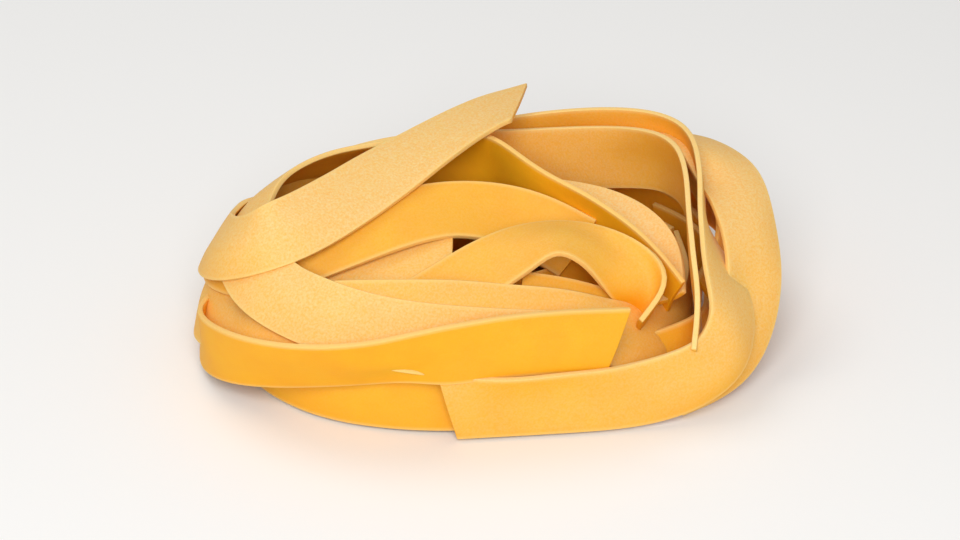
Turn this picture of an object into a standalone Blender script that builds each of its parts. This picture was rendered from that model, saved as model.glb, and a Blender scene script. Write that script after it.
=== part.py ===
"""Dry pasta nest: wide egg noodles wound into an oval bundle and dried in one piece.

The bundle is one solid. Its skin is cast onto guide ribbons that lie as the noodles do,
so that every band, arch and fold shows as relief, over a domed core that closes the gaps.
"""

import math

import bmesh
import bpy
import numpy as np
from mathutils import Vector
from mathutils.bvhtree import BVHTree

MM = 0.001

NEST_LENGTH = 120 * MM
NEST_DEPTH = 84 * MM
NEST_HEIGHT = 42 * MM
NEST_SQUARENESS = 2.3  # exponent of the oval, where 2 is an ellipse

RIBBON_WIDTH = 14 * MM
RIBBON_THICKNESS = 1.1 * MM
RIBBON_STEP = 3.4 * MM
RIBBON_COLUMNS = 4

CORE_LENGTH = 98 * MM
CORE_DEPTH = 66 * MM
CORE_HEIGHT = 25 * MM
CORE_SMOOTHNESS = 48  # segments round the core

SKIN_CUTS = 33  # cuts along each edge of the skin's cube
SKIN_CENTRE_HEIGHT = 11 * MM
SKIN_REACH = 200 * MM  # how far out the casting starts
SKIN_SOFTENING = 0.5  # how far each point moves towards its neighbours
SKIN_PASSES = 3  # times that all points move
FLAT_FOOT = 1.2 * MM  # points lower than this belong to the flat foot

PASTA_COLOUR = (0.90, 0.62, 0.17, 1.0)
PASTA_ROUGHNESS = 0.6

# Noodles wound round the oval: the start angle in degrees, the turns, then keys spread
# evenly along the way. Reach is a share of the oval, rise is in mm, and lean is the angle
# of the ribbon's width from the upright, in degrees.
WOUND = {
    "foot": {
        "start": 20,
        "turns": 1.1,
        "reach": (0.66, 0.78, 0.80, 0.78, 0.74),
        "rise": (7.5, 8, 7.5, 8, 8),
        "lean": (-8, -12, -5, -12, -8),
    },
    "filler": {
        "start": 250,
        "turns": 1.5,
        "reach": (0.28, 0.45, 0.52, 0.42, 0.30),
        "rise": (9, 12, 14, 16, 19),
        "lean": (-30, -45, -30, -45, -60),
    },
    "back_wall": {
        "start": -20,
        "turns": 0.62,
        "reach": (0.80, 0.88, 0.88, 0.90, 0.84),
        "rise": (9, 15, 19, 18, 10),
        "lean": (-15, -22, -30, -25, -20),
    },
    "left_shoulder": {
        "start": 75,
        "turns": 0.55,
        "reach": (0.62, 0.74, 0.80, 0.84, 0.80),
        "rise": (30, 30, 27, 24, 17),
        "lean": (-40, -50, -52, -50, -40),
    },
}

# Noodles laid by hand: x, y and z of the middle in mm, then the lean in degrees.
LAID = {
    "front_belt": (
        (-24, 35, 8, -10), (-52, 16, 9, -15), (-56, -8, 11, -25), (-45, -28, 16, -40),
        (-24, -36, 19, -46), (4, -37, 20, -50), (24, -37, 17, -45), (40, -33, 12, -40),
        (53, -16, 9, -25),
    ),
    "diagonal": (
        (-36, 18, 22, -25), (-20, 22, 30, -12), (-3, 19, 34.5, 0), (9, 11, 34, 8),
        (20, -1, 31, 8), (30, -13, 26, 5), (36, -26, 19, -5), (30, -35, 11, -15),
    ),
    "band_through": (
        (-36, 27, 17, -20), (-53, 6, 19, -32), (-48, -14, 23, -45), (-32, -15, 28, -50),
        (-15, -9, 31, -50), (2, -2, 30, -55), (16, 5, 29, -70), (28, 3, 27, -80),
        (35, -8, 23, -70),
    ),
    "arch": (
        (-46, 4, 13, -30), (-47, -18, 13, -42), (-30, -29, 17, -50), (-12, -22, 25, -50),
        (4, -15, 29.5, -50), (15, -13, 30, -52), (26, -19, 27, -50), (34, -27, 20, -42),
    ),
    "front_end": (
        (-52, -1, 14, -30), (-48, -22, 18, -48), (-31, -32, 22, -60), (-11, -29, 25.5, -68),
    ),
    "front_inner": (
        (-26, -18, 17, -60), (-6, -25, 22, -62), (12, -29, 23.5, -62), (28, -32, 20.5, -55),
        (36, -28, 15, -50),
    ),
    "front_twist": (
        (-57, -6, 13, -8), (-50, -26, 13, -5), (-30, -38, 15, 12), (-8, -40, 17, -20),
        (10, -40, 16, -50), (28, -39, 12, -38), (44, -33, 8, -20), (55, -14, 8, -15),
    ),
    "hairpin_inner": (
        (-46, 4, 21, 14), (-37, 20, 25, 8), (-15, 27, 30, -4), (12, 26, 32, -8),
        (32, 23, 31, -5), (40.5, 14, 31, 0), (40.5, -4, 29, 3), (39.5, -22, 25, 5),
        (37, -35, 17, 10),
    ),
    "hairpin_outer": (
        (-50, 10, 13, 15), (-30, 30, 18, 12), (0, 33, 25, 10), (26, 31, 29, 5),
        (41, 25, 31, 3), (44.5, 12, 31, 3), (44, -6, 28, 8), (45, -20, 24, 30),
        (47, -31, 17, 48), (37, -38, 9, 40),
    ),
    "outer_wrap": (
        (-46, 26, 8, 18), (-22, 37, 11, 20), (5, 38, 19, 25), (30, 34, 27, 32),
        (47, 24, 30, 42), (54, 8, 26, 48), (55.5, -9, 20, 45), (50, -25, 13, 35),
        (34, -38, 8, 20),
    ),
    "top_end": (
        (-36, 31, 14, -20), (-52, 12, 20, -35), (-53, -5, 27, -55), (-41, -11, 34, -78),
        (-22, -3, 39, -93), (-6, 11, 41, -92), (12, 30, 40, -85),
    ),
}


def clear_scene():
    for thing in list(bpy.data.objects):
        bpy.data.objects.remove(thing)


def new_collection(name):
    collection = bpy.data.collections.new(name)
    bpy.context.scene.collection.children.link(collection)
    return collection


def hide_guide(thing):
    thing.hide_render = True
    thing.display_type = "WIRE"


def smooth_keys(keys, shares):
    """Catmull-Rom values at the shares 0 to 1 of evenly spread keys."""
    keys = np.array(keys, float)
    keys = keys.reshape(len(keys), -1)
    padded = np.vstack([2 * keys[0] - keys[1], keys, 2 * keys[-1] - keys[-2]])
    place = shares * (len(keys) - 1)
    first = np.minimum(place.astype(int), len(keys) - 2)
    part = (place - first)[:, None]
    a, b, c, d = (padded[first + k] for k in range(4))
    bend = (2 * a - 5 * b + 4 * c - d) * part**2 + (3 * b - a - 3 * c + d) * part**3
    return b + 0.5 * ((c - a) * part + bend)


def oval(angle, reach):
    """x and y on the nest's oval at each angle in radians, drawn in to a share of it."""
    power = 2 / NEST_SQUARENESS
    along = np.sign(np.cos(angle)) * np.abs(np.cos(angle)) ** power
    across = np.sign(np.sin(angle)) * np.abs(np.sin(angle)) ** power
    return reach * NEST_LENGTH / 2 * along, reach * NEST_DEPTH / 2 * across


def wound_route(recipe):
    """Middle points in metres and leans in degrees of a noodle wound round the oval."""
    shares = np.linspace(0, 1, 200)
    angle = np.radians(recipe["start"] + 360 * recipe["turns"] * shares)
    x, y = oval(angle, smooth_keys(recipe["reach"], shares)[:, 0])
    z = smooth_keys(recipe["rise"], shares)[:, 0] * MM
    return np.stack([x, y, z], -1), smooth_keys(recipe["lean"], shares)[:, 0]


def laid_route(stations):
    """Middle points in metres and leans in degrees of a noodle laid through stations."""
    route = smooth_keys(stations, np.linspace(0, 1, 200))
    return route[:, :3] * MM, route[:, 3]


def even_steps(points, leans):
    """The route again, at places RIBBON_STEP apart."""
    gaps = np.linalg.norm(np.diff(points, axis=0), axis=1)
    length = np.concatenate([[0], np.cumsum(gaps)])
    places = np.linspace(0, length[-1], round(length[-1] / RIBBON_STEP) + 1)
    middle = [np.interp(places, length, points[:, axis]) for axis in range(3)]
    return np.stack(middle, -1), np.interp(places, length, leans)


def lay_ribbon(name, route, collection):
    """One guide ribbon along a route, its width leaning about the way it runs."""
    middle, lean = even_steps(*route)
    mesh = bmesh.new()
    rows = []
    for place in range(len(middle)):
        before, after = max(place - 1, 0), min(place + 1, len(middle) - 1)
        along = Vector(middle[after] - middle[before]).normalized()
        upright = (Vector((0, 0, 1)) - along * along.z).normalized()
        aside = along.cross(upright)
        angle = math.radians(lean[place])
        wide = (upright * math.cos(angle) + aside * math.sin(angle)) * RIBBON_WIDTH
        row = []
        for column in range(RIBBON_COLUMNS + 1):
            offset = wide * (column / RIBBON_COLUMNS - 0.5)
            row.append(mesh.verts.new(Vector(middle[place]) + offset))
        rows.append(row)
    for row, following in zip(rows, rows[1:]):
        for column in range(RIBBON_COLUMNS):
            corners = (row[column], following[column], following[column + 1], row[column + 1])
            mesh.faces.new(corners)
    ribbon = object_from(mesh, "guide_" + name, collection)
    hide_guide(ribbon)
    solidify = ribbon.modifiers.new("Thickness", "SOLIDIFY")
    solidify.thickness = RIBBON_THICKNESS
    solidify.offset = 0
    return ribbon


def object_from(mesh, name, collection):
    data = bpy.data.meshes.new(name)
    mesh.to_mesh(data)
    mesh.free()
    thing = bpy.data.objects.new(name, data)
    collection.objects.link(thing)
    return thing


def make_core(collection):
    """The domed core that closes the gaps, flat where the nest stands."""
    mesh = bmesh.new()
    bmesh.ops.create_uvsphere(
        mesh, u_segments=CORE_SMOOTHNESS, v_segments=CORE_SMOOTHNESS // 2, radius=1
    )
    for vertex in mesh.verts:
        vertex.co.x *= CORE_LENGTH / 2
        vertex.co.y *= CORE_DEPTH / 2
        vertex.co.z = max(vertex.co.z, 0) * CORE_HEIGHT
    core = object_from(mesh, "guide_core", collection)
    hide_guide(core)
    return core


def tree_of(guides):
    """One search tree over every guide as its modifiers leave it."""
    graph = bpy.context.evaluated_depsgraph_get()
    points = []
    faces = []
    for guide in guides:
        shape = guide.evaluated_get(graph).to_mesh()
        start = len(points)
        points += [vertex.co.copy() for vertex in shape.vertices]
        faces += [[start + corner for corner in face.vertices] for face in shape.polygons]
    return BVHTree.FromPolygons(points, faces)


def wrap_skin(guides, name, collection):
    """A ball drawn in from outside until each point meets a guide, then cut to size."""
    tree = tree_of(guides)
    centre = Vector((0, 0, SKIN_CENTRE_HEIGHT))
    mesh = bmesh.new()
    bmesh.ops.create_cube(mesh, size=2)
    bmesh.ops.subdivide_edges(mesh, edges=mesh.edges[:], cuts=SKIN_CUTS, use_grid_fill=True)
    for vertex in mesh.verts:
        # The tangent spreads the cube's rows evenly over the ball.
        spread = Vector([math.tan(side * math.pi / 4) for side in vertex.co])
        outward = spread.normalized()
        start = centre + outward * SKIN_REACH
        vertex.co = tree.ray_cast(start, -outward)[0]
    for _ in range(SKIN_PASSES):
        bmesh.ops.smooth_vert(
            mesh,
            verts=mesh.verts[:],
            factor=SKIN_SOFTENING,
            use_axis_x=True,
            use_axis_y=True,
            use_axis_z=True,
        )
    fit_to_size(mesh)
    for vertex in mesh.verts:
        if vertex.co.z < FLAT_FOOT:
            vertex.co.z = 0
    bmesh.ops.triangulate(mesh, faces=mesh.faces[:])
    bmesh.ops.recalc_face_normals(mesh, faces=mesh.faces[:])
    return object_from(mesh, name, collection)


def fit_to_size(mesh):
    """Brings the skin to the nest's exact length, depth and height, standing on z = 0."""
    low = Vector([min(vertex.co[axis] for vertex in mesh.verts) for axis in range(3)])
    high = Vector([max(vertex.co[axis] for vertex in mesh.verts) for axis in range(3)])
    sides = (NEST_LENGTH, NEST_DEPTH, NEST_HEIGHT)
    starts = (-NEST_LENGTH / 2, -NEST_DEPTH / 2, 0)
    for vertex in mesh.verts:
        for axis in range(3):
            share = (vertex.co[axis] - low[axis]) / (high[axis] - low[axis])
            vertex.co[axis] = starts[axis] + share * sides[axis]


def pasta_material():
    material = bpy.data.materials.new("dry_egg_pasta")
    material.use_nodes = True
    shader = material.node_tree.nodes["Principled BSDF"]
    shader.inputs["Base Color"].default_value = PASTA_COLOUR
    shader.inputs["Roughness"].default_value = PASTA_ROUGHNESS
    shader.inputs["Metallic"].default_value = 0
    return material


def build():
    clear_scene()
    collection = new_collection("dry_pasta_nest")
    guides = [make_core(collection)]
    for name, recipe in WOUND.items():
        guides.append(lay_ribbon(name, wound_route(recipe), collection))
    for name, stations in LAID.items():
        guides.append(lay_ribbon(name, laid_route(stations), collection))
    nest = wrap_skin(guides, "pasta_nest", collection)
    nest.data.materials.append(pasta_material())


build()
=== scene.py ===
import math

import bpy
import numpy as np
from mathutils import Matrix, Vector


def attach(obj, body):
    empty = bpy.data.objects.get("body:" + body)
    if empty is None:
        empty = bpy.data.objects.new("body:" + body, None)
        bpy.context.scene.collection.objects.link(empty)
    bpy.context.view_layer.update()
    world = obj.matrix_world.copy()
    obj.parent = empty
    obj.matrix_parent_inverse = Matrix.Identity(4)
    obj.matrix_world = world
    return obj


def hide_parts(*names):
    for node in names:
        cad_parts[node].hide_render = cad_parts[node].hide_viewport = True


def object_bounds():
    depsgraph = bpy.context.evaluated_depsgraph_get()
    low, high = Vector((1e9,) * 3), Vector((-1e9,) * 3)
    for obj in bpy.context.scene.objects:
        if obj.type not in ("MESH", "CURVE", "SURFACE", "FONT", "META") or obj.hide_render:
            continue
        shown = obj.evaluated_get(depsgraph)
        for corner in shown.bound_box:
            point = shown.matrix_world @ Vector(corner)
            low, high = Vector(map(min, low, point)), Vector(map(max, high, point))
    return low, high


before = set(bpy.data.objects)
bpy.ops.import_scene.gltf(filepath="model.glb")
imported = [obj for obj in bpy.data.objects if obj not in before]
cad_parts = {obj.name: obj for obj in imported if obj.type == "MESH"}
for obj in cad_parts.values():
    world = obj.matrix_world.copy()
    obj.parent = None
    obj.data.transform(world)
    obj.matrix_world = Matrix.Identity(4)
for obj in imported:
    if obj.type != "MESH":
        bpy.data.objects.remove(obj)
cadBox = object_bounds()
print("frame loaded")

mm = 0.001

# The bundle, in millimetres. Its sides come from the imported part.
nest = {
    "length": (cadBox[1].x - cadBox[0].x) / mm,
    "depth": (cadBox[1].y - cadBox[0].y) / mm,
    "height": (cadBox[1].z - cadBox[0].z) / mm,
    "squareness": 2.3,  # exponent of the oval, where 2 is an ellipse
    "margin": 0.7,  # kept between a noodle's middle surface and the box
}

# One noodle, rolled and cut, in millimetres.
noodle = {
    "width": 14.0,
    "thickness": 1.1,
    "step": 3.4,  # between two stations along it
    "columns": 5,  # points across it
    "drawOut": 0.75,  # how much of a sideways bend the damp dough keeps
    "slantRows": 5,  # stations that a slanting cut runs over
}

# The noodles from the first laid to the last, in millimetres and degrees. A wound one starts at
# an angle and makes some turns of the oval, with keys spread evenly along it. A laid one runs
# through x, y and z of its middle, each with the lean of its width from upright.
# Each noodle's flour share sets how much pale flour colour it gets: partly real flour, partly painted
# light, kept low on noodles that lie in shade in the holes and at the front, as painted shade.
noodles = {
    "foot": {
        "start": 20, "turns": 1.05,
        "reach": (0.76, 0.80, 0.84, 0.86, 0.84),
        "rise": (7.6, 8, 7.6, 8, 8),
        "lean": (-8, -12, 4, -16, -8),
        "flourAndLight": 0.2,
    },
    "footFlat": {
        "start": 130, "turns": 2.4,
        "reach": (0.20, 0.34, 0.45, 0.54, 0.62, 0.66, 0.64),
        "rise": (2, 2.5, 3, 3, 3.5, 4, 5),
        "lean": (-80, -76, -80, -76, -78, -78, -75),
        "flourAndLight": 0.1,
    },
    "filler": {
        "start": 250, "turns": 1.5,
        "reach": (0.26, 0.42, 0.50, 0.42, 0.28),
        "rise": (9, 11, 13, 14, 17),
        "lean": (-30, -45, -30, -45, -60),
        "flourAndLight": 0.1,
    },
    "backWall": {
        "start": -20, "turns": 0.62,
        "reach": (0.80, 0.88, 0.88, 0.90, 0.84),
        "rise": (9, 12, 15, 15, 10),
        "lean": (-15, -20, -24, -20, -20),
        "flourAndLight": 0.15,
    },
    "rightWall": {
        "start": -32, "turns": 0.34,
        "reach": (0.84, 0.85, 0.86, 0.88, 0.84),
        "rise": (16, 20, 20, 16, 11),
        "lean": (-25, -20, -20, -20, -15),
        "flourAndLight": 0.1,
    },
    "fillerHigh": {
        "start": 40, "turns": 1.1,
        "reach": (0.50, 0.58, 0.52, 0.38, 0.36),
        "rise": (13, 17, 18, 14, 14),
        "lean": (-30, -45, -55, -50, -50),
        "flourAndLight": 0.1,
    },
    "frontTwist": {
        "laid": (
            (-50, 16, 8, -5), (-58, -4, 9, 0), (-54, -20, 12, 12), (-38, -33, 16, 28),
            (-18, -38, 19.5, 18), (0, -39.3, 21.3, 0), (12, -39, 21, -4), (22, -38, 19.5, -6),
        ),
        "slant": 3,
        "flourAndLight": 0.15,
    },
    "frontInner": {
        "laid": (
            (4, -26, 22.5, -54), (12, -27, 21, -48), (19, -27.5, 18, -45),
            (27, -25, 14.5, -42), (30, -16, 11.5, -38), (29, -7, 11, -38),
        ),
        "flourAndLight": 0.2,
    },
    "frontBelt": {
        "laid": (
            (-24, 35, 8, -10), (-52, 16, 10, -15), (-56, -7, 14, -25), (-45, -23, 22, -46),
            (-22, -30, 25, -54), (0, -31.5, 24, -54), (14, -31.5, 20.5, -50),
            (28, -28.5, 14, -42), (38, -19, 8, -20), (43, -6, 8, -8), (43.5, 10, 9, -8),
        ),
        "flourAndLight": 0.55,
    },
    "rest": {
        "laid": (
            (11, 15, 21, -66), (18, 9, 23.5, -68), (26, 3, 24.5, -72), (32, -5, 23, -68),
            (34, -14, 19, -58), (32, -21, 15, -50),
        ),
        "flourAndLight": 0.9,
    },
    "diagonal": {
        "laid": (
            (-30, 8, 24, -35), (-22, 15, 26, -22), (-11, 18.5, 28.5, -8), (-1, 19.5, 30.7, 0),
            (5.5, 16, 31.5, 4), (8.5, 9, 30.5, 6), (13.5, 2.5, 28.5, 6), (21, -4, 27, 6),
            (29, -11.5, 23.5, 5), (33.5, -17, 20, 2), (36, -21.5, 17, 0),
        ),
        "flourAndLight": 0.05,
    },
    "smallEnd": {
        "laid": (
            (-38, 14, 16, -30), (-49, -1, 17, -40), (-42, -14, 20, -55), (-27, -15, 24, -65),
            (-15, -13, 26, -72), (-7, -11.5, 27, -75),
        ),
        "slant": 5,
        "flourAndLight": 0.6,
    },
    "bandThrough": {
        "laid": (
            (-8, 33, 14, -12), (-36, 27, 17, -20), (-52, 6, 20, -32), (-47, -11, 25.5, -50),
            (-32, -10, 30, -62), (-15, -4, 31.5, -68), (-5, -1.5, 31, -68), (6, -2, 29, -60),
            (14, -5.5, 26, -50), (19, -9, 22, -45),
        ),
        "flourAndLight": 0.2,
    },
    "arch": {
        "laid": (
            (-46, 4, 12, -30), (-47, -16, 13, -42), (-31, -26, 16, -48), (-14, -24, 21, -55),
            (0, -19.5, 28.5, -72), (11, -16.5, 32.5, -88), (20, -18, 30.5, -85),
            (28, -22, 24.5, -64), (31, -26, 17.5, -50), (26, -28, 12, -45),
        ),
        "flourAndLight": 0.3,
    },
    "leftShoulder": {
        "start": 105, "turns": 0.48,
        "reach": (0.60, 0.74, 0.82, 0.84, 0.80),
        "rise": (30, 30, 27, 23, 17),
        "lean": (-40, -52, -56, -52, -40),
        "flourAndLight": 0.8,
    },
    "outerWrap": {
        "laid": (
            (-46, 25, 8, 18), (-22, 35, 11, 20), (5, 35, 18, 30), (27, 32.5, 26, 50),
            (42, 24, 31.5, 68), (50.5, 10, 32.5, 78), (53, -5, 30, 80), (53.5, -15, 25, 66),
            (52.5, -23, 17, 48), (48.5, -29.5, 9.5, 26), (41, -34.5, 7.4, 8),
            (33, -36.3, 7.4, 2),
        ),
        "flourAndLight": 0.8,
    },
    "hairpinInner": {
        "laid": (
            (-46, 4, 21, 14), (-37, 20, 23, 8), (-15, 28, 25, 0), (12, 26, 25.5, -6),
            (30, 23, 26.5, -5), (40, 15.5, 29.5, 0), (43, 3, 31, 3), (41, -10, 28, 5),
            (39.7, -21, 23.5, 5), (40, -28, 17, 5), (39.5, -34, 11, 5),
        ),
        "flourAndLight": 1.0,
    },
    "hairpinOuter": {
        "laid": (
            (-50, 10, 14, 15), (-30, 31, 18, 12), (0, 33, 24, 8), (26, 29.5, 28, 3),
            (42, 20, 30.5, 3), (46, 5, 31.5, 4), (44.3, -8, 28.5, 8), (44.5, -17, 26.5, 30),
            (46, -25, 22.5, 58), (47, -32, 17, 68), (43.5, -36, 11, 42), (31, -38.9, 8, 12),
            (10, -39.6, 7.6, 2), (-12, -39, 7.6, 0),
        ),
        "slant": 4,
        "flourAndLight": 0.85,
    },
    "topEnd": {
        "laid": (
            (20, 38, 9, -15), (-8, 38, 10, -15), (-36, 31, 14, -20), (-52, 12, 20, -35),
            (-53, -5, 27, -55), (-43, -13, 33, -70), (-30, -5, 35, -68), (-18.6, 5, 36.3, -76),
            (-10, 12, 37.5, -88), (-2, 18, 38.8, -94), (5, 22.5, 39.5, -95), (12.5, 25, 39.8, -97),
        ),
        "slant": 12,
        "flourAndLight": 0.85,
    },
}

# How the damp noodles sink onto each other, in millimetres and passes.
settling = {
    "spacing": 16.0,  # height between two noodles before they sink
    "pace": 0.35,  # how far they sink in one pass
    "gap": 1.35,  # kept between two middle surfaces
    "rest": 240,  # passes after the last noodle has landed
    "listEvery": 8,  # passes between two searches for neighbours
    "listReach": 6.2,  # how far such a search looks
    "ownRows": 4,  # stations of one noodle that can't meet each other
    "evenings": 2,  # smoothing passes along each noodle at the end
    "carry": 0.9,  # how firmly a noodle follows its place while it sinks
    "hold": 0.06,  # and once it has landed
    "sinkMost": 1.3,  # longest pull in one pass while noodles sink, in paces
    "restMost": 0.12,  # longest pull in one pass once all have landed
    "pushMost": 0.5,  # longest push of one noodle by another in one pass
    "pushShare": 1.5,
}

# How stiff a noodle is: along, across, on the slant, over its whole width and against bending.
stiffness = {"along": 0.8, "across": 0.9, "slanting": 0.5, "wide": 0.35, "bending": 0.25}


def smoothKeys(keys, shares):
    # Catmull-Rom through evenly spread keys
    keys = np.array(keys, float)
    keys = keys.reshape(len(keys), -1)
    padded = np.vstack([2 * keys[0] - keys[1], keys, 2 * keys[-1] - keys[-2]])
    place = shares * (len(keys) - 1)
    first = np.minimum(place.astype(int), len(keys) - 2)
    part = (place - first)[:, None]
    a, b, c, d = (padded[first + k] for k in range(4))
    bend = (2 * a - 5 * b + 4 * c - d) * part**2 + (3 * b - a - 3 * c + d) * part**3
    return b + 0.5 * ((c - a) * part + bend)


def woundLine(recipe):
    shares = np.linspace(0, 1, 200)
    angle = np.radians(recipe["start"] + 360 * recipe["turns"] * shares)
    reach = smoothKeys(recipe["reach"], shares)[:, 0]
    power = 2 / nest["squareness"]
    x = reach * nest["length"] / 2 * np.sign(np.cos(angle)) * np.abs(np.cos(angle)) ** power
    y = reach * nest["depth"] / 2 * np.sign(np.sin(angle)) * np.abs(np.sin(angle)) ** power
    z = smoothKeys(recipe["rise"], shares)[:, 0]
    return np.stack([x, y, z], -1), smoothKeys(recipe["lean"], shares)[:, 0]


def laidLine(recipe):
    line = smoothKeys(recipe["laid"], np.linspace(0, 1, 200))
    return line[:, :3], line[:, 3]


def evenStations(points, leans):
    gaps = np.sqrt(dot(np.diff(points, axis=0), np.diff(points, axis=0)))
    length = np.concatenate([[0], np.cumsum(gaps)])
    places = np.linspace(0, length[-1], round(length[-1] / noodle["step"]) + 1)
    middle = [np.interp(places, length, points[:, axis]) for axis in range(3)]
    return np.stack(middle, -1), np.interp(places, length, leans)


def dot(a, b):
    return a[..., 0] * b[..., 0] + a[..., 1] * b[..., 1] + a[..., 2] * b[..., 2]


def unit(a):
    return a / np.maximum(np.sqrt(dot(a, a)), 1e-9)[..., None]


def cross(a, b):
    x = a[..., 1] * b[..., 2] - a[..., 2] * b[..., 1]
    y = a[..., 2] * b[..., 0] - a[..., 0] * b[..., 2]
    z = a[..., 0] * b[..., 1] - a[..., 1] * b[..., 0]
    return np.stack([x, y, z], -1)


def slantEnd(sheet, slant):
    # slides the last rows along the noodle, more at one edge than at the other
    columns = np.linspace(-0.5, 0.5, noodle["columns"])
    onward = unit(np.diff(sheet, axis=0))
    for row in range(-noodle["slantRows"], 0):
        share = (row + noodle["slantRows"] + 1) / noodle["slantRows"]
        sheet[row] += onward[row] * (columns * slant * share)[:, None]


def drawSheet(recipe):
    # the noodle's middle surface before it sinks: stations, columns, x y z
    line = laidLine(recipe) if "laid" in recipe else woundLine(recipe)
    middle, lean = evenStations(*line)
    along = unit(np.gradient(middle, axis=0))
    upright = unit(np.array([0, 0, 1.0]) - along * along[:, 2:])
    lean = np.radians(lean)[:, None]
    across = np.cos(lean) * upright + np.sin(lean) * cross(along, upright)
    columns = np.linspace(-0.5, 0.5, noodle["columns"]) * noodle["width"]
    return middle[:, None] + across[:, None] * columns[None, :, None]


class Heap:
    # every point of every noodle in one list, with where it sits in its own noodle
    def __init__(self, sheets):
        columns = noodle["columns"]
        self.counts = [len(sheet) for sheet in sheets]
        self.goal = np.concatenate([sheet.reshape(-1, 3) for sheet in sheets])
        self.which = np.repeat(np.arange(len(sheets)), np.array(self.counts) * columns)
        self.row = np.concatenate([np.repeat(np.arange(n), columns) for n in self.counts])
        self.column = np.tile(np.arange(columns), sum(self.counts))
        self.isFirst = self.row == 0
        self.isLast = self.row == np.array(self.counts)[self.which] - 1
        own = np.arange(len(self.goal))
        self.before = np.where(self.isFirst, own, own - columns)
        self.after = np.where(self.isLast, own, own + columns)
        self.left = np.where(self.column == 0, own, own - 1)
        self.right = np.where(self.column == columns - 1, own, own + 1)
        self.middle = own - self.column + columns // 2
        pitch = noodle["width"] / (columns - 1)
        self.reachAlong = np.where(self.isLast, 0, noodle["step"] / 2)
        self.reachBack = np.where(self.isFirst, 0, noodle["step"] / 2)
        self.reachRight = np.where(self.right == own, 0, pitch / 2)
        self.reachLeft = np.where(self.left == own, 0, pitch / 2)
        self.links = self.makeLinks(pitch)

    def linkSet(self, starts, rows, columns, firmness, even, drawOut, most=None):
        # links from each start to the point some rows and columns on, with their lengths
        starts = np.nonzero(starts)[0]
        ends = starts + rows * noodle["columns"] + columns
        apart = self.goal[ends] - self.goal[starts]
        drawn = np.sqrt(dot(apart, apart))
        length = even + drawOut * np.clip(drawn - even, -0.35 * even, 0.35 * even)
        return starts, ends, np.minimum(length, most or np.inf), firmness

    def makeLinks(self, pitch):
        # Each set's links share no point, so that a whole set can be drawn in at once.
        step = noodle["step"]
        keep = noodle["drawOut"]
        slope = math.hypot(step, pitch)
        lastColumn = noodle["columns"] - 1
        rowsOn = np.array(self.counts)[self.which] - 1 - self.row
        links = []
        for half in (0, 1):
            rows = (rowsOn >= 1) & (self.row % 2 == half)
            links.append(self.linkSet(rows, 1, 0, stiffness["along"], step, keep))
        for half in (0, 1):
            pairs = (self.column < lastColumn) & (self.column % 2 == half)
            links.append(self.linkSet(pairs, 0, 1, stiffness["across"], pitch, 0))
        for half in (0, 1):
            rows = (rowsOn >= 1) & (self.row % 2 == half)
            for side, pairs in ((1, self.column < lastColumn), (-1, self.column > 0)):
                links.append(
                    self.linkSet(rows & pairs, 1, side, stiffness["slanting"], slope, keep)
                )
        wide = noodle["width"]
        edges = self.column == 0
        links.append(self.linkSet(edges, 0, lastColumn, stiffness["wide"], wide, 0))
        for half in (0, 1):
            rows = (rowsOn >= 2) & (self.row // 2 % 2 == half)
            links.append(self.linkSet(rows, 2, 0, stiffness["bending"], 2 * step, 1, 2 * step))
        return links


def nearPairs(points, heap):
    # pairs of points that may touch, leaving out those next to each other in one noodle
    rough = points.astype(np.float32)
    squares = dot(rough, rough)
    apart = squares[:, None] - 2 * rough @ rough.T
    apart += squares
    one, other = np.nonzero(apart < settling["listReach"] ** 2)
    rows = np.abs(heap.row[one] - heap.row[other])
    apart = (heap.which[one] != heap.which[other]) | (rows > settling["ownRows"])
    return one[apart], other[apart]


def keepApart(points, pairs, heap):
    # pushes each point off the small patch of noodle round every point near it
    one, other = pairs
    along = unit(points[heap.after] - points[heap.before])
    across = points[heap.right] - points[heap.left]
    across = cross(unit(cross(along, across)), along)
    apart = points[one] - points[other]
    a = dot(apart, along[other])
    a = np.minimum(np.maximum(a, -heap.reachBack[other]), heap.reachAlong[other])
    b = dot(apart, across[other])
    b = np.minimum(np.maximum(b, -heap.reachLeft[other]), heap.reachRight[other])
    off = apart - along[other] * a[:, None] - across[other] * b[:, None]
    distance = np.sqrt(dot(off, off))
    close = distance < settling["gap"]
    distance = distance[close]
    share = 0.5 * (settling["gap"] - distance) / np.maximum(distance, 1e-3)
    push = off[close] * share[:, None]
    both = np.concatenate([one[close], other[close]])
    times = np.maximum(np.bincount(both, minlength=len(points)), 1)
    for axis in range(3):
        weights = np.concatenate([push[:, axis], -push[:, axis]])
        moved = np.bincount(both, weights=weights, minlength=len(points))
        step = settling["pushShare"] * moved / times
        points[:, axis] += np.clip(step, -settling["pushMost"], settling["pushMost"])
    return len(distance)


def keepInBox(points, withLid):
    halfLength = nest["length"] / 2 - nest["margin"]
    halfDepth = nest["depth"] / 2 - nest["margin"]
    points[:, 0] = np.clip(points[:, 0], -halfLength, halfLength)
    points[:, 1] = np.clip(points[:, 1], -halfDepth, halfDepth)
    points[:, 2] = np.maximum(points[:, 2], nest["margin"])
    if withLid:
        points[:, 2] = np.minimum(points[:, 2], nest["height"] - nest["margin"])


def evenOut(sheet):
    # takes out the small ripples that the passes leave along a noodle
    for _ in range(settling["evenings"]):
        sheet[1:-1] = (sheet[:-2] + 2 * sheet[1:-1] + sheet[2:]) / 4
        sheet[0] = (sheet[0] + 2 * sheet[1] - sheet[2]) / 2
        sheet[-1] = (sheet[-1] + 2 * sheet[-2] - sheet[-3]) / 2


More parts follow.
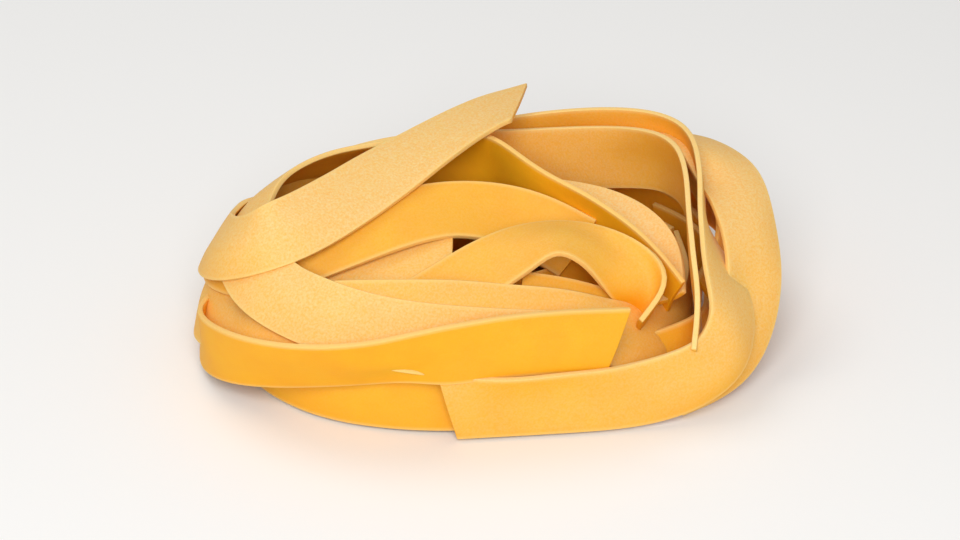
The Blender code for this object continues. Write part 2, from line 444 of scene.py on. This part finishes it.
def settle(sheets):
    # Each noodle starts flat at its own height, sinks to where it is meant to lie, and rests on
    # those laid before it. Its links hold its size, and it can't pass through another.
    heap = Heap(sheets)
    height = nest["height"] + settling["spacing"] * np.arange(len(sheets))
    height[0] = 0
    meant = heap.goal[heap.middle, 2]
    points = heap.goal.copy()
    points[:, 2] += np.maximum(height[heap.which] - meant, 0)
    sinking = int(height.max() / settling["pace"])
    touching = 0
    for turn in range(sinking + settling["rest"]):
        lift = np.maximum(height[heap.which] - settling["pace"] * turn - meant, 0)
        pull = heap.goal - points
        pull[:, 2] += lift
        distance = np.sqrt(dot(pull, pull))
        share = np.where(lift > 0, settling["carry"], settling["hold"])
        most = settling["sinkMost"] * settling["pace"]
        if turn >= sinking:
            most = settling["restMost"] * (1 - (turn - sinking) / settling["rest"])
        share *= np.minimum(1, most / np.maximum(distance * share, 1e-9))
        points += pull * share[:, None]
        for starts, ends, length, firmness in heap.links:
            apart = points[ends] - points[starts]
            now = np.sqrt(dot(apart, apart))
            half = apart * (0.5 * firmness * (now - length) / np.maximum(now, 1e-6))[:, None]
            points[starts] += half
            points[ends] -= half
        if turn % settling["listEvery"] == 0:
            pairs = nearPairs(points, heap)
        touching = keepApart(points, pairs, heap)
        keepInBox(points, turn > sinking)
    print("settled, touching", touching)
    sheets = np.split(points.reshape(-1, noodle["columns"], 3), np.cumsum(heap.counts)[:-1])
    for sheet in sheets:
        evenOut(sheet)
    keepInBox(points, True)
    return sheets


# The finish of the rolled sheet, in millimetres.
surface = {
    "smoothness": 1,  # levels of subdivision
    "wave": 0.35,  # height of the slow waves of drying
    "waveSize": 16.0,
    "waveSeed": 3.0,
    "edgeRound": 0.16,
}


def addNode(tree, kind, links=None, **settings):
    # one node with its settings, its inputs linked or set by name or by place
    node = tree.nodes.new(kind)
    for name, value in settings.items():
        setattr(node, name, value)
    for key, value in (links or {}).items():
        socket = node.inputs[key]
        if isinstance(value, bpy.types.NodeSocket):
            tree.links.new(value, socket)
        else:
            socket.default_value = value
    return node


def makeNoodleTree(material):
    # gives the flat middle surfaces their waves and thickness
    tree = bpy.data.node_groups.new("rolledNoodle", "GeometryNodeTree")
    face = tree.interface
    face.new_socket("Geometry", in_out="INPUT", socket_type="NodeSocketGeometry")
    face.new_socket("Thickness", in_out="INPUT", socket_type="NodeSocketFloat")
    face.new_socket("Smoothness", in_out="INPUT", socket_type="NodeSocketInt")
    face.new_socket("Wave", in_out="INPUT", socket_type="NodeSocketFloat")
    face.new_socket("Wave Size", in_out="INPUT", socket_type="NodeSocketFloat")
    face.new_socket("Seed", in_out="INPUT", socket_type="NodeSocketFloat")
    face.new_socket("Geometry", in_out="OUTPUT", socket_type="NodeSocketGeometry")
    given = addNode(tree, "NodeGroupInput").outputs
    smooth = addNode(
        tree, "GeometryNodeSubdivisionSurface",
        {"Mesh": given["Geometry"], "Level": given["Smoothness"]},
        boundary_smooth="PRESERVE_CORNERS",
    )
    place = addNode(tree, "GeometryNodeInputPosition").outputs[0]
    often = addNode(tree, "ShaderNodeMath", {0: 1.0, 1: given["Wave Size"]}, operation="DIVIDE")
    noise = addNode(
        tree, "ShaderNodeTexNoise",
        {"Vector": place, "W": given["Seed"], "Scale": often.outputs[0], "Detail": 1.0},
        noise_dimensions="4D",
    )
    level = addNode(tree, "ShaderNodeMath", {0: noise.outputs[0], 1: 0.5}, operation="SUBTRACT")
    size = addNode(
        tree, "ShaderNodeMath", {0: level.outputs[0], 1: given["Wave"]}, operation="MULTIPLY"
    )
    under = addNode(
        tree, "ShaderNodeMath", {0: given["Thickness"], 1: -0.5, 2: size.outputs[0]},
        operation="MULTIPLY_ADD",
    )
    normal = addNode(tree, "GeometryNodeInputNormal").outputs[0]
    offset = addNode(
        tree, "ShaderNodeVectorMath", {0: normal, "Scale": under.outputs[0]}, operation="SCALE"
    )
    lower = addNode(
        tree, "GeometryNodeSetPosition",
        {"Geometry": smooth.outputs[0], "Offset": offset.outputs[0]},
    )
    upper = addNode(
        tree, "GeometryNodeExtrudeMesh",
        {"Mesh": lower.outputs[0], "Offset Scale": given["Thickness"], "Individual": False},
    )
    turned = addNode(tree, "GeometryNodeFlipFaces", {"Mesh": lower.outputs[0]})
    joined = addNode(tree, "GeometryNodeJoinGeometry", {0: upper.outputs[0]})
    tree.links.new(turned.outputs[0], joined.inputs[0])
    merged = addNode(
        tree, "GeometryNodeMergeByDistance", {"Geometry": joined.outputs[0], "Distance": 1e-6}
    )
    rounded = addNode(tree, "GeometryNodeSetShadeSmooth", {"Geometry": merged.outputs[0]})
    real = addNode(tree, "GeometryNodeRealizeInstances", {"Geometry": rounded.outputs[0]})
    painted = addNode(
        tree, "GeometryNodeSetMaterial", {"Geometry": real.outputs[0], "Material": material}
    )
    addNode(tree, "NodeGroupOutput", {0: painted.outputs[0]})
    return tree


def setInputs(modifier, values):
    for item in modifier.node_group.interface.items_tree:
        if item.name in values and item.in_out == "INPUT":
            modifier[item.identifier] = values[item.name]


def joinSheets(name, sheets, floursAndLight):
    # one mesh of quads, where flow holds metres along and across and the noodle's share of the pale
    # flour colour, partly real flour and partly painted light, kept low on noodles that lie in shade
    columns = noodle["columns"]
    faces = []
    flow = []
    start = 0
    for sheet, flourAndLight in zip(sheets, floursAndLight):
        index = start + np.arange(len(sheet) * columns).reshape(-1, columns)
        quads = [index[:-1, :-1], index[1:, :-1], index[1:, 1:], index[:-1, 1:]]
        faces.append(np.stack(quads, -1).reshape(-1, 4))
        along = np.repeat(np.arange(len(sheet)) * noodle["step"] * mm, columns)
        across = np.tile(np.linspace(-0.5, 0.5, columns) * noodle["width"] * mm, len(sheet))
        flow.append(np.stack([along, across, np.full(len(along), flourAndLight)], -1))
        start += len(along)
    mesh = bpy.data.meshes.new(name)
    points = np.concatenate(sheets).reshape(-1, 3) * mm
    mesh.from_pydata(points.tolist(), [], np.concatenate(faces).tolist())
    flowData = mesh.attributes.new("flow", "FLOAT_VECTOR", "POINT")
    flowData.data.foreach_set("vector", np.concatenate(flow).astype(np.float32).ravel())
    piece = bpy.data.objects.new(name, mesh)
    bpy.context.scene.collection.objects.link(piece)
    return piece


def plainMesh(piece):
    # swaps the piece's mesh for what its modifiers make of it
    graph = bpy.context.evaluated_depsgraph_get()
    made = bpy.data.meshes.new_from_object(piece.evaluated_get(graph))
    piece.modifiers.clear()
    piece.data = made


def rollNoodles(name, sheets, floursAndLight, material):
    piece = joinSheets(name, sheets, floursAndLight)
    modifier = piece.modifiers.new("rolled", "NODES")
    modifier.node_group = makeNoodleTree(material)
    values = {
        "Thickness": noodle["thickness"] * mm,
        "Smoothness": surface["smoothness"],
        "Wave": surface["wave"] * mm,
        "Wave Size": surface["waveSize"] * mm,
        "Seed": surface["waveSeed"],
    }
    setInputs(modifier, values)
    bevel = piece.modifiers.new("edges", "BEVEL")
    bevel.width = surface["edgeRound"] * mm
    bevel.segments = 1
    bevel.limit_method = "ANGLE"
    bevel.angle_limit = math.radians(50)
    bevel.harden_normals = False
    piece.modifiers.new("normals", "WEIGHTED_NORMAL")
    plainMesh(piece)
    return piece


def hexColour(code):
    # an sRGB hex code as linear red, green, blue and alpha
    parts = [int(code[place:place + 2], 16) / 255 for place in (1, 3, 5)]
    linear = [c / 12.92 if c <= 0.04045 else ((c + 0.055) / 1.055) ** 2.4 for c in parts]
    return (*linear, 1.0)


# Dried egg pasta: durum semolina and egg, rolled between rough rollers and cut. It is matt and
# warm yellow, with pale floury grains, and it lets a little light into its edges. Its pale flour
# colour is mostly painted light, laid on faces that look up, so faces that look sideways or down
# keep the deep yellow as painted shade; a paler band along the cut edges is partly a painted
# highlight.
eggPasta = {
    "body": "#F6B40C",
    "deep": "#F2A202",
    "flourAndLight": "#F2CE8C",
    "paleEdgeAndHighlight": "#F6CE80",
    "paleEdgeHighlightBand": 0.9,  # mm from the edge inwards
    "paleEdgeHighlightShare": 0.7,
    "grain": 0.45,  # mm, semolina grains
    "grainShares": (0.55, 1.15),  # share of the pale flour colour and painted light between the grains and on them
    "cloud": 7.0,  # mm, patches where the dough dried paler
    "streak": 1.1,  # mm across, marks of the rollers
    "streakShare": 0.08,
    "streakHeight": 0.15,  # of the height of the grains
    "paleInPaintedShade": 0.1,  # pale flour colour on faces that look down, of what lies on those that look up: painted shade below, painted light above
    "roughness": 0.62,
    "grainHeight": 0.05,  # mm
    "glow": 0.15,  # share of light that spreads inside
    "glowDepth": 2.0,  # mm
    "glowByColour": (1.0, 0.55, 0.2),
    "ior": 1.5,
    "specular": 0.35,
}


def driedEggPasta():
    recipe = eggPasta
    material = bpy.data.materials.new("driedEggPasta")
    material.use_nodes = True
    tree = material.node_tree
    shader = tree.nodes["Principled BSDF"]
    flow = addNode(tree, "ShaderNodeAttribute", attribute_name="flow").outputs["Vector"]
    place = addNode(tree, "ShaderNodeTexCoord").outputs["Object"]
    grain = addNode(
        tree, "ShaderNodeTexNoise",
        {"Vector": place, "Scale": 1 / (recipe["grain"] * mm), "Detail": 2.0, "Roughness": 0.6},
    ).outputs[0]
    cloud = addNode(
        tree, "ShaderNodeTexNoise",
        {"Vector": place, "Scale": 1 / (recipe["cloud"] * mm), "Detail": 3.0},
    ).outputs[0]
    stretched = addNode(tree, "ShaderNodeMapping", {"Vector": flow, "Scale": (0.05, 1.0, 1.0)})
    streak = addNode(
        tree, "ShaderNodeTexNoise",
        {"Vector": stretched.outputs[0], "Scale": 1 / (recipe["streak"] * mm), "Detail": 2.0},
    ).outputs[0]
    colour = addNode(
        tree, "ShaderNodeMix",
        {0: cloud, 6: hexColour(recipe["deep"]), 7: hexColour(recipe["body"])},
        data_type="RGBA",
    ).outputs[2]
    # Painted light and shade: faces that look up get the pale flour colour where the light falls on
    # them, and faces that look sideways or down keep the deep yellow as painted shade. Only a little
    # of it is real flour dust.
    normal = addNode(tree, "ShaderNodeNewGeometry").outputs["Normal"]
    upward = addNode(tree, "ShaderNodeSeparateXYZ", {0: normal}).outputs["Z"]
    paintedLightByFacing = addNode(
        tree, "ShaderNodeMapRange", {0: upward, 1: -0.3, 2: 0.9, 3: recipe["paleInPaintedShade"], 4: 1.0}
    ).outputs[0]
    split = addNode(tree, "ShaderNodeSeparateXYZ", {0: flow}).outputs
    dustAndLight = addNode(
        tree, "ShaderNodeMath", {0: paintedLightByFacing, 1: split["Z"]}, operation="MULTIPLY"
    ).outputs[0]
    least, most = recipe["grainShares"]
    grains = addNode(
        tree, "ShaderNodeMapRange", {0: grain, 1: 0.35, 2: 0.65, 3: least, 4: most}
    ).outputs[0]
    flourAndLight = addNode(tree, "ShaderNodeMath", {0: dustAndLight, 1: grains}, operation="MULTIPLY").outputs[0]
    colour = addNode(
        tree, "ShaderNodeMix",
        {0: flourAndLight, 6: colour, 7: hexColour(recipe["flourAndLight"])},
        data_type="RGBA",
    ).outputs[2]
    lines = addNode(
        tree, "ShaderNodeMapRange",
        {0: streak, 1: 0.45, 2: 0.7, 3: 0.0, 4: recipe["streakShare"]},
    ).outputs[0]
    colour = addNode(
        tree, "ShaderNodeMix",
        {0: lines, 6: colour, 7: hexColour(recipe["deep"])},
        data_type="RGBA",
    ).outputs[2]
    # A paler band along each cut edge: partly the cut edge's own paler look, partly a painted
    # highlight where the rims catch the light.
    fromMiddle = addNode(tree, "ShaderNodeMath", {0: split["Y"]}, operation="ABSOLUTE").outputs[0]
    halfWidth = noodle["width"] / 2 * mm
    bandStart = halfWidth - recipe["paleEdgeHighlightBand"] * mm
    edgeHighlight = addNode(
        tree, "ShaderNodeMapRange",
        {0: fromMiddle, 1: bandStart, 2: halfWidth, 3: 0.0, 4: recipe["paleEdgeHighlightShare"]},
    ).outputs[0]
    colour = addNode(
        tree, "ShaderNodeMix",
        {0: edgeHighlight, 6: colour, 7: hexColour(recipe["paleEdgeAndHighlight"])},
        data_type="RGBA",
    ).outputs[2]
    tree.links.new(colour, shader.inputs["Base Color"])
    height = addNode(
        tree, "ShaderNodeMath", {0: streak, 1: recipe["streakHeight"], 2: grain},
        operation="MULTIPLY_ADD",
    ).outputs[0]
    bump = addNode(
        tree, "ShaderNodeBump",
        {"Height": height, "Distance": recipe["grainHeight"] * mm, "Strength": 1.0},
    )
    tree.links.new(bump.outputs[0], shader.inputs["Normal"])
    shader.inputs["Roughness"].default_value = recipe["roughness"]
    shader.inputs["Subsurface Weight"].default_value = recipe["glow"]
    shader.inputs["Subsurface Radius"].default_value = recipe["glowByColour"]
    shader.inputs["Subsurface Scale"].default_value = recipe["glowDepth"] * mm
    shader.inputs["IOR"].default_value = recipe["ior"]
    shader.inputs["Specular IOR Level"].default_value = recipe["specular"]
    return material


# The studio, in metres and watts.
studio = {
    "floor": "#F4F3F1",
    "floorSize": 6.0,
    "skyStrength": 0.44,
    "topPlace": (-0.25, 0.30, 0.85),
    "topSize": 0.55,
    "topPower": 1.6,
    "frontPlace": (-0.15, -0.75, 0.62),
    "frontSize": 0.6,
    "frontPower": 6.6,
    "cameraTurn": -7.9,  # degrees, seen from the left of straight on
    "cameraRise": 31.0,
    "cameraAway": 0.60,
    "lens": 110.0,
    "aim": (0.0, 0.0, 0.015),
}


def makeFloor():
    bpy.ops.mesh.primitive_plane_add(size=studio["floorSize"])
    floor = bpy.context.object
    floor.name = "floor"
    material = bpy.data.materials.new("paleCard")
    material.use_nodes = True
    shader = material.node_tree.nodes["Principled BSDF"]
    shader.inputs["Base Color"].default_value = hexColour(studio["floor"])
    shader.inputs["Roughness"].default_value = 0.9
    shader.inputs["Specular IOR Level"].default_value = 0.1
    floor.data.materials.append(material)


def addSoftbox(name, place, size, power):
    lamp = bpy.data.lights.new(name, "AREA")
    lamp.shape = "DISK"
    lamp.size = size
    lamp.energy = power
    box = bpy.data.objects.new(name, lamp)
    box.location = place
    box.rotation_euler = (Vector(studio["aim"]) - box.location).to_track_quat("-Z", "Y").to_euler()
    bpy.context.scene.collection.objects.link(box)


def makeLight():
    world = bpy.data.worlds.new("studioSky")
    world.use_nodes = True
    sky = world.node_tree.nodes["Background"]
    sky.inputs["Color"].default_value = (1, 1, 1, 1)
    sky.inputs["Strength"].default_value = studio["skyStrength"]
    bpy.context.scene.world = world
    addSoftbox("topSoftbox", studio["topPlace"], studio["topSize"], studio["topPower"])
    addSoftbox("frontSoftbox", studio["frontPlace"], studio["frontSize"], studio["frontPower"])
    bpy.context.scene.view_settings.view_transform = "Standard"


def makeCamera():
    turn = math.radians(studio["cameraTurn"])
    rise = math.radians(studio["cameraRise"])
    back = Vector((math.sin(turn) * math.cos(rise), -math.cos(turn) * math.cos(rise), math.sin(rise)))
    lens = bpy.data.cameras.new("camera")
    lens.lens = studio["lens"]
    camera = bpy.data.objects.new("camera", lens)
    camera.location = Vector(studio["aim"]) + back * studio["cameraAway"]
    camera.rotation_euler = (-back).to_track_quat("-Z", "Y").to_euler()
    bpy.context.scene.collection.objects.link(camera)
    bpy.context.scene.camera = camera


makeFloor()
makeLight()
makeCamera()
print("studio ready")

sheets = [drawSheet(recipe) for recipe in noodles.values()]
sheets = settle(sheets)
for sheet, recipe in zip(sheets, noodles.values()):
    slantEnd(sheet, recipe.get("slant", 0))
floursAndLight = [recipe["flourAndLight"] for recipe in noodles.values()]
nestPiece = rollNoodles("noodles", sheets, floursAndLight, driedEggPasta())
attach(nestPiece, "root")
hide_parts("pasta_nest")
print("noodles rolled,", sum(len(face.vertices) - 2 for face in nestPiece.data.polygons), "triangles")
